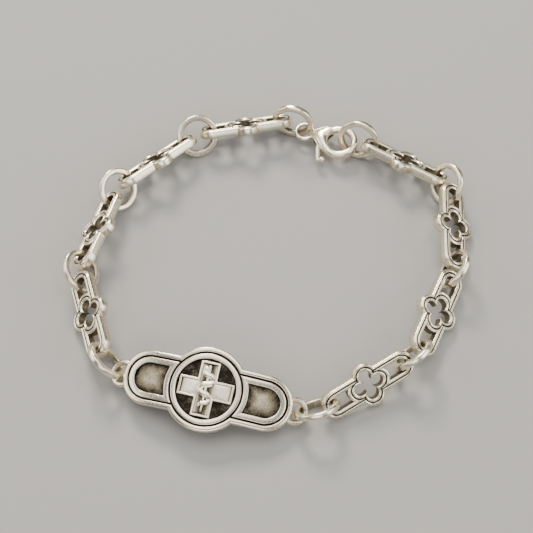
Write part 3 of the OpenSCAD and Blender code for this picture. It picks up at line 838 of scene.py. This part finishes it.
def emblem_shells(s):
    """A plain cross with raised borders and sunken fields, and on its upright bar a rod with a serpent about
    it. The serpent's middle line climbs evenly while it swings from side to side as a cosine."""
    root, soft, stain_h, bulge = 0.05, 0.07, 0.1, 0.05
    floor = s.thickness / 2 - s.recess_deep
    foot, field, top = floor - root, floor + s.field_h, floor + s.border_h
    half, reach = s.arm_w / 2, s.arm_l

    def outside(inset):
        return cross_outline(half - inset, reach - inset)

    def inside(inset):
        return cross_outline(half - s.border + inset, reach - s.border + inset)

    out = [(1, 0, foot, BLACK), (1, 0, floor + stain_h, SHADED), *shoulder(1, soft, top, EDGE, FEW_ANGLES)]
    into = [(0, 0, foot, BLACK), (0, 0, field, SHADED), *shoulder(0, soft, top, EDGE, FEW_ANGLES)]
    shells = [ridge(inside, outside, crowned(into, out, 0.0))]

    # The fields bulge a little. They are stained along the rod, about the middle and next to the borders
    outline = inside(LAP)
    heights = field + bulge * (1 - FIELD_SHARES)
    points, faces, _ = pillow(outline, FIELD_SHARES, heights, SHADED, foot)
    by_rod = 0.85 * np.exp(-(np.abs(points[:, 0]) / (0.62 * half)) ** 4)
    by_middle = 0.5 * np.exp(-(np.hypot(points[:, 0], points[:, 1]) / half) ** 2)
    by_border = np.interp(FIELD_SHARES, [0.0, 0.85, 0.93, 1.0], [0.0, 0.08, 0.3, 0.85])
    by_border = np.repeat([SHADED, SHADED, *by_border], len(outline))
    shells.append((points, faces, np.clip(np.maximum(by_rod + by_middle, by_border), 0, 0.9)))

    # The rod thickens towards its top, where a ball ends it
    tip = reach - 2 * s.border
    rod_h, rod_half_h = 0.1, 0.2
    lean = np.linspace(-1, 1, 40)
    rod = np.column_stack([0 * lean, lean * tip, 0 * lean + field + rod_h])
    taper = s.rod_w / 2 * (1.05 + 0.25 * lean)
    shells.append(swept(rod, taper, 0 * lean + rod_half_h, patina_and_painted_light=BRIGHT, steps=12))
    shells.append(ball((0, tip - 0.1, field + 0.08), s.rod_w * 0.72, steps=12))

    turns = 4
    share = np.linspace(0, 1, 150)
    pitch = 2 * (tip - s.border) / (turns + 0.6)
    climb = (share * (turns + 0.28) - turns / 2) * pitch
    wave = np.pi * (climb / pitch + turns / 2)
    swing = (half - 1.9 * s.border) * np.interp(share, [0, 0.12, 0.82, 1], [0.55, 0.95, 1.0, 0.45])
    # From the tail's point over the body to the neck, the head and the snout
    girth_at, girths = [0, 0.25, 0.8, 0.93, 0.965, 1], [0.3, 0.85, 0.9, 0.72, 1.1, 0.6]
    girth = s.serpent_w / 2 * np.interp(share, girth_at, girths)
    # It rises where it crosses the rod, and is flatter than it is wide
    lowest, rise, flattest = 0.04, 0.1, 0.26
    over = field + lowest + rise * np.abs(np.sin(wave))
    body = np.column_stack([-swing * np.cos(wave), climb + 0.11 * pitch * np.sin(2 * wave), over])
    shells.append(swept(body, girth, np.minimum(girth * 0.9, flattest), patina_and_painted_light=BRIGHT, blunt=1.0))
    return bent(shells, s.bend)


def clasp_facts(s):
    """Lengths in mm and angles in degrees that follow from the clasp's sizes, in its own frame."""
    f = SimpleNamespace()
    f.inner = s.bore / 2
    f.outer = f.inner + s.hook_w
    f.eye_bar = (s.eye_d - s.eye_bore) / 2
    f.neck_r = s.neck / 2
    f.neck_at = s.reach - s.eye_bore / 2 - f.eye_bar / 4 - f.neck_r
    f.pin_x = f.outer + s.pin_d / 2
    f.hub_r = s.pin_d / 2 + s.hub_wall
    f.slot = s.lever_t / 2 + s.slot_gap
    # Where the hook ends, and where the lever's slot ends on the same side of the bore
    f.tip = -100.0
    f.root = -42.0
    tip = np.radians(f.tip)
    f.tip_reach = np.hypot(f.inner * np.cos(tip) - f.pin_x, f.inner * np.sin(tip))
    return f


def body_rim(s, f, degrees):
    """How far the teardrop's outline is from the middle of the hook: the hook's own rim, then the tangent
    line to the neck with a half sine wave on it, then the neck's circle."""
    angle = np.abs((np.asarray(degrees, float) + 180) % 360 - 180)
    lean = np.degrees(np.arccos((f.outer - f.neck_r) / f.neck_at))
    tangent = f.outer / np.cos(np.radians(np.clip(angle - lean, -89, 89)))
    touch_y = f.neck_r * np.sin(np.radians(lean))
    touch_x = f.neck_at + f.neck_r * np.cos(np.radians(lean))
    touch = np.degrees(np.arctan2(touch_y, touch_x))
    tangent += s.belly * np.sin(np.pi * np.clip((angle - touch) / (lean - touch), 0, 1))
    under = np.radians(np.minimum(angle, touch))
    neck = f.neck_at * np.cos(under) + np.sqrt(f.neck_r ** 2 - (f.neck_at * np.sin(under)) ** 2)
    return np.where(angle > lean, f.outer, np.where(angle > touch, tangent, neck))


def body_height(s, f, x, y):
    """Half the body's thickness at a point: the hook's own, which ebbs along a smooth step towards the neck,
    and a dome near the hook's root, blended by the sixth root of the sum of their sixth powers."""
    dome_r, roundness, neck_share, thinnest = 1.21 * f.outer, 0.9, 0.3, 0.2
    away = np.hypot(x - f.neck_at / 2, y) / dome_r
    dome = s.body_t / 2 * np.clip(1 - away ** 2, 0, 1) ** roundness
    ebb = np.clip((f.neck_at + f.neck_r - x) / (2 * f.neck_r), 0, 1)
    hook = s.hook_t / 2 * (neck_share + (1 - neck_share) * ebb * ebb * (3 - 2 * ebb))
    return np.maximum((dome ** 6 + hook ** 6) ** (1 / 6), thinnest)


def clasp_body_shells(s):
    """The hook and the root of the body as one bar carried round the bore, two domed cheeks over the lever's
    slot, a crescent at the neck, a soldered eye and the pin."""
    f = clasp_facts(s)
    c, h = round_box(CLASP_POWER, 36)

    def banded(degrees, across, up):
        """A section carried round the hook: its reach runs from the bore to the rim."""
        rim = body_rim(s, f, degrees)
        reach = (f.inner + rim) / 2 + (rim - f.inner) / 2 * across[None, :]
        x, y = reach * np.cos(np.radians(degrees)), reach * np.sin(np.radians(degrees))
        return np.stack([x, y, up[None, :] * body_height(s, f, x, y)], axis=-1)

    shells = [shell(banded(np.linspace(360 + f.tip, BAR_END, 150)[:, None], c, h), BRIGHT)]

    # Each cheek is the upper or lower half of the section, over a flat back that lies along the slot
    degrees = np.linspace(CHEEK_OUT, f.root, 70)[:, None]
    from_slot, thinnest = 0.06, 0.02
    arch = np.linspace(from_slot, np.pi - from_slot, 26)
    across = np.sign(np.cos(arch)) * np.abs(np.cos(arch)) ** (2 / CLASP_POWER)
    up = np.abs(np.sin(arch)) ** (2 / CLASP_POWER)
    # It rises out of the hook's bar over its first few degrees, so that no seam shows
    risen = np.interp(degrees, [CHEEK_IN, CHEEK_OUT], [1.003, 0.97])
    for side in (1, -1):
        cheek = banded(degrees, across, up)
        cheek[..., 2] = side * np.maximum(cheek[..., 2] * risen, f.slot + thinnest)
        back = cheek[:, [-2, len(arch) // 2 - 1, 1]].copy()
        back[..., 2] = side * f.slot
        shade = [BRIGHT] * len(arch) + [SHADED] * back.shape[1]
        shells.append(shell(np.concatenate([cheek, back], axis=1), np.array([shade])))

    # The crescent fills the teardrop's tip from near the hub to the neck's circle, seen from the pin
    half_angle, hub_gap, past_slot = 52, 0.08, 0.05
    around = np.radians(np.linspace(-half_angle, half_angle, 24))[:, None]
    off = f.pin_x - f.neck_at
    far = np.sqrt(f.neck_r ** 2 - (off * np.sin(around)) ** 2) - off * np.cos(around)
    near = f.hub_r + hub_gap
    reach = (near + far) / 2 + (far - near) / 2 * c[None, :]
    x, y = f.pin_x + reach * np.cos(around), reach * np.sin(around)
    z = h[None, :] * np.maximum(body_height(s, f, x, y), f.slot + past_slot)
    shells.append(shell(np.stack([x, y, z], axis=-1), WORN))

    points, faces, patina_and_painted_light = torus((s.eye_bore + f.eye_bar) / 2, f.eye_bar / 2, around=80, across=16)
    shells.append((points + np.array([s.reach, 0, 0]), faces, patina_and_painted_light))

    outline = arc((f.pin_x, 0), s.pin_d / 2, 0, 360, 32)
    into_cheek = 0.2
    ends = (-f.slot - into_cheek, f.slot + into_cheek)
    rows = [np.column_stack([outline, np.full(len(outline), z)]) for z in ends]
    shells.append(shell(np.array(rows), WORN))
    return shells


def lever_shells(s):
    """The gate follows the hook's curve and ends on a circle about the pin. An arm joins it to the hub, and
    the thumb stem leaves the hub on the other side with its ball."""
    f = clasp_facts(s)
    c, h = round_box(3.2, 28)
    inner = f.inner + s.tip_gap
    reach = (inner + f.outer) / 2 + (f.outer - inner) / 2 * c
    end = f.tip_reach - s.tip_gap
    # The law of cosines gives the angle at which each line of the gate meets that circle
    tip = -np.degrees(np.arccos((reach ** 2 + f.pin_x ** 2 - end ** 2) / (2 * reach * f.pin_x)))
    share = np.linspace(0, 1, 50)[:, None]
    angle = np.radians(tip[None, :] * (1 - share) + (f.root + PAST_ROOT) * share)
    x, y = reach * np.cos(angle), reach * np.sin(angle)
    z = h[None, :] * s.lever_t / 2 + 0 * share
    shells = [shell(np.stack([x, y, z], axis=-1), BRIGHT)]

    half = s.lever_t / 2
    meet = (f.inner + f.outer) / 2 + s.tip_gap / 2
    arm_at = np.radians(f.root + ARM_PAST_ROOT)
    arm = smooth_path([(meet * np.cos(arm_at), meet * np.sin(arm_at), 0), (f.pin_x, 0, 0)], 20)
    width = np.full(len(arm), half)
    shells.append(swept(arm, width, width * 0.98, 3.2, WORN, 20))

    def hub(inset):
        return arc((f.pin_x, 0), f.hub_r - inset, 0, 360, 48)

    def bore(inset):
        return arc((f.pin_x, 0), s.pin_d / 2 + PIN_PLAY + inset, 0, 360, 48)

    rows = crowned(free_edge(0, 0.06, half, -half), free_edge(1, 0.1, half, -half), 0.0)
    shells.append(ridge(bore, hub, rows))

    # The stem leaves the hub, bends at a knee just inside the hook's rim and ends in its ball outside it
    start = (f.pin_x - 0.2, 0.62, 0)
    knee = (f.pin_x - 0.8, f.outer - 0.5, 0)
    stop = (f.pin_x - 1.7, f.outer + 1.6, 0)
    stem = smooth_path([start, knee, stop], 60)
    width = half * np.interp(np.linspace(0, 1, 60), [0, 0.5, 0.9, 1], [1, 0.95, 0.8, 0.78])
    shells.append(swept(stem, width, width * 0.95, 2.6, BRIGHT, 20, blunt=1.0))
    shells.append(ball((stop[0] - s.ball_d / 2, stop[1] - 0.55 * s.ball_d, 0), s.ball_d / 2))
    return shells


class BRACELET_OT_links(bpy.types.Operator):
    """Make the eight quatrefoil links"""

    bl_idname = "bracelet.make_links"
    bl_label = "Links"

    def execute(self, context):
        sizes = in_mm(context.scene.bracelet_links)
        shells = link_shells(sizes)
        for node in LINKS:
            place = lying_place(node, sizes.thickness / 2)
            add_piece(f"{node}_silver", shells, place, BRACELET, node)
        return {"FINISHED"}


class BRACELET_OT_rings(bpy.types.Operator):
    """Make the ten jump rings"""

    bl_idname = "bracelet.make_rings"
    bl_label = "Jump rings"

    def execute(self, context):
        sizes = in_mm(context.scene.bracelet_links)
        half = sizes.ring_wire / 2 * RING_FLATS
        wire = torus((sizes.ring_d - sizes.ring_wire) / 2, half, 160, 32, RING_POWER)
        for node in RINGS:
            add_piece(f"{node}_silver", [wire], ring_place(node), BRACELET, node)
        return {"FINISHED"}


class BRACELET_OT_plate(bpy.types.Operator):
    """Make the curved plate with its lines, recess, pockets and eyes"""

    bl_idname = "bracelet.make_plate"
    bl_label = "Plate"

    def execute(self, context):
        sizes = in_mm(context.scene.bracelet_plate)
        shells = plate_shells(sizes) + eye_shells(sizes)
        add_piece("plate_silver", shells, lying_place("plate", sizes.thickness / 2), BRACELET, "plate")
        return {"FINISHED"}


class BRACELET_OT_emblem(bpy.types.Operator):
    """Make the cross with the rod and serpent in the plate's recess"""

    bl_idname = "bracelet.make_emblem"
    bl_label = "Emblem"

    def execute(self, context):
        sizes = in_mm(context.scene.bracelet_plate)
        place = lying_place("plate", sizes.thickness / 2)
        add_piece("emblem_silver", emblem_shells(sizes), place, BRACELET)
        return {"FINISHED"}


class BRACELET_OT_clasp(bpy.types.Operator):
    """Make the clasp's hook, body and eye"""

    bl_idname = "bracelet.make_clasp"
    bl_label = "Clasp"

    def execute(self, context):
        sizes = in_mm(context.scene.bracelet_clasp)
        shells = clasp_body_shells(sizes)
        add_piece("clasp_body_silver", shells, clasp_place(sizes), BRACELET, "clasp_body")
        return {"FINISHED"}


class BRACELET_OT_lever(bpy.types.Operator):
    """Make the clasp's lever, which swings on its pin"""

    bl_idname = "bracelet.make_lever"
    bl_label = "Lever"

    def execute(self, context):
        sizes = in_mm(context.scene.bracelet_clasp)
        shells = lever_shells(sizes)
        add_piece("clasp_lever_silver", shells, clasp_place(sizes), LEVER, "clasp_lever")
        return {"FINISHED"}


def aim_camera():
    """A camera that looks down at the aim point from the front, with no roll, shift or depth of field."""
    rise = np.radians(CAMERA_RISE)
    camera = bpy.data.objects.new("camera", bpy.data.cameras.new("camera"))
    camera.data.lens = CAMERA_LENS
    camera.data.sensor_width = SENSOR_WIDTH
    camera.data.clip_start = NEAREST
    camera.location = Vector(AIM) + CAMERA_AWAY * Vector((0, -np.cos(rise), np.sin(rise)))
    camera.rotation_euler = (np.pi / 2 - rise, 0, 0)
    bpy.context.scene.collection.objects.link(camera)
    bpy.context.scene.camera = camera


def matt_board(colour):
    """Matt painted board: an even pale coat with a faint tooth, which gives soft reflections and shadows."""
    made = blank_material("matt_board")
    tree = made.node_tree
    place = add_node(tree, "ShaderNodeTexCoord").outputs["Object"]
    # A tooth of about 0.6 mm
    tooth = add_node(tree, "ShaderNodeTexNoise", {"Vector": place, "Scale": per_metre(0.6), "Detail": 3.0})
    bump = add_node(tree, "ShaderNodeBump", {
        "Height": tooth.outputs["Fac"], "Strength": 0.08, "Distance": 0.05 * MM})
    shader = add_node(tree, "ShaderNodeBsdfPrincipled", {
        "Base Color": (*colour, 1), "Roughness": 0.85, "Normal": bump.outputs["Normal"]})
    add_node(tree, "ShaderNodeOutputMaterial", {"Surface": shader.outputs["BSDF"]})
    return made


def soft_light(name, place, size_m, watts, colour):
    """A large square lamp that faces the bracelet."""
    light = bpy.data.lights.new(name, "AREA")
    light.shape = "RECTANGLE"
    light.size, light.size_y = size_m
    light.energy = watts
    light.color = linear(colour)
    lamp = bpy.data.objects.new(name, light)
    lamp.location = place
    lamp.rotation_euler = (-Vector(place)).to_track_quat("-Z", "Y").to_euler()
    bpy.context.scene.collection.objects.link(lamp)


class BRACELET_OT_stage(bpy.types.Operator):
    """Set up the pale floor, the soft lights and the camera"""

    bl_idname = "bracelet.make_stage"
    bl_label = "Stage"

    def execute(self, context):
        mesh = bpy.data.meshes.new("floor")
        # The floor lies just under the lowest point, so that nothing dips into it
        low = CAD_BOX[0].z - FLOOR_GAP * MM
        turns = ((-1, -1), (1, -1), (1, 1), (-1, 1))
        corners = [(x * FLOOR_HALF, y * FLOOR_HALF, low) for x, y in turns]
        mesh.from_pydata(corners, [], [(0, 1, 2, 3)])
        mesh.materials.append(matt_board(context.scene.bracelet_finish.floor))
        floor = bpy.data.objects.new("floor", mesh)
        context.scene.collection.objects.link(floor)
        for lamp in LAMPS:
            soft_light(*lamp)
        world = bpy.data.worlds.new("room")
        world.use_nodes = True
        background = world.node_tree.nodes["Background"]
        background.inputs["Color"].default_value = (*linear(ROOM_COLOUR), 1)
        background.inputs["Strength"].default_value = ROOM_STRENGTH
        context.scene.world = world
        aim_camera()
        return {"FINISHED"}


class BRACELET_PT_panel(bpy.types.Panel):
    """Lists the pieces of the bracelet and their sizes"""

    bl_idname = "BRACELET_PT_panel"
    bl_label = "Bracelet"
    bl_space_type = "VIEW_3D"
    bl_region_type = "UI"
    bl_category = "Bracelet"

    def draw(self, context):
        for operator in OPERATORS:
            self.layout.operator(operator.bl_idname)
        for name in GROUPS:
            group = getattr(context.scene, name)
            box = self.layout.box()
            for field in group.__class__.__annotations__:
                box.prop(group, field)


GROUPS = {
    "bracelet_links": BRACELET_PG_links,
    "bracelet_plate": BRACELET_PG_plate,
    "bracelet_clasp": BRACELET_PG_clasp,
    "bracelet_finish": BRACELET_PG_finish,
}
OPERATORS = (
    BRACELET_OT_plate,
    BRACELET_OT_emblem,
    BRACELET_OT_links,
    BRACELET_OT_rings,
    BRACELET_OT_clasp,
    BRACELET_OT_lever,
    BRACELET_OT_stage,
)


def register():
    """Makes the classes known to Blender and hangs their sizes on the scene."""
    for made in (*GROUPS.values(), *OPERATORS, BRACELET_PT_panel):
        bpy.utils.register_class(made)
    for name, group in GROUPS.items():
        setattr(bpy.types.Scene, name, bpy.props.PointerProperty(type=group))


def unregister():
    """Takes the sizes off the scene and the classes out of Blender."""
    for name in GROUPS:
        delattr(bpy.types.Scene, name)
    for made in reversed((*GROUPS.values(), *OPERATORS, BRACELET_PT_panel)):
        bpy.utils.unregister_class(made)


def main():
    """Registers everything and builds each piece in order."""
    register()
    for operator in OPERATORS:
        group, name = operator.bl_idname.split(".")
        getattr(getattr(bpy.ops, group), name)()


if __name__ == "__main__":
    main()
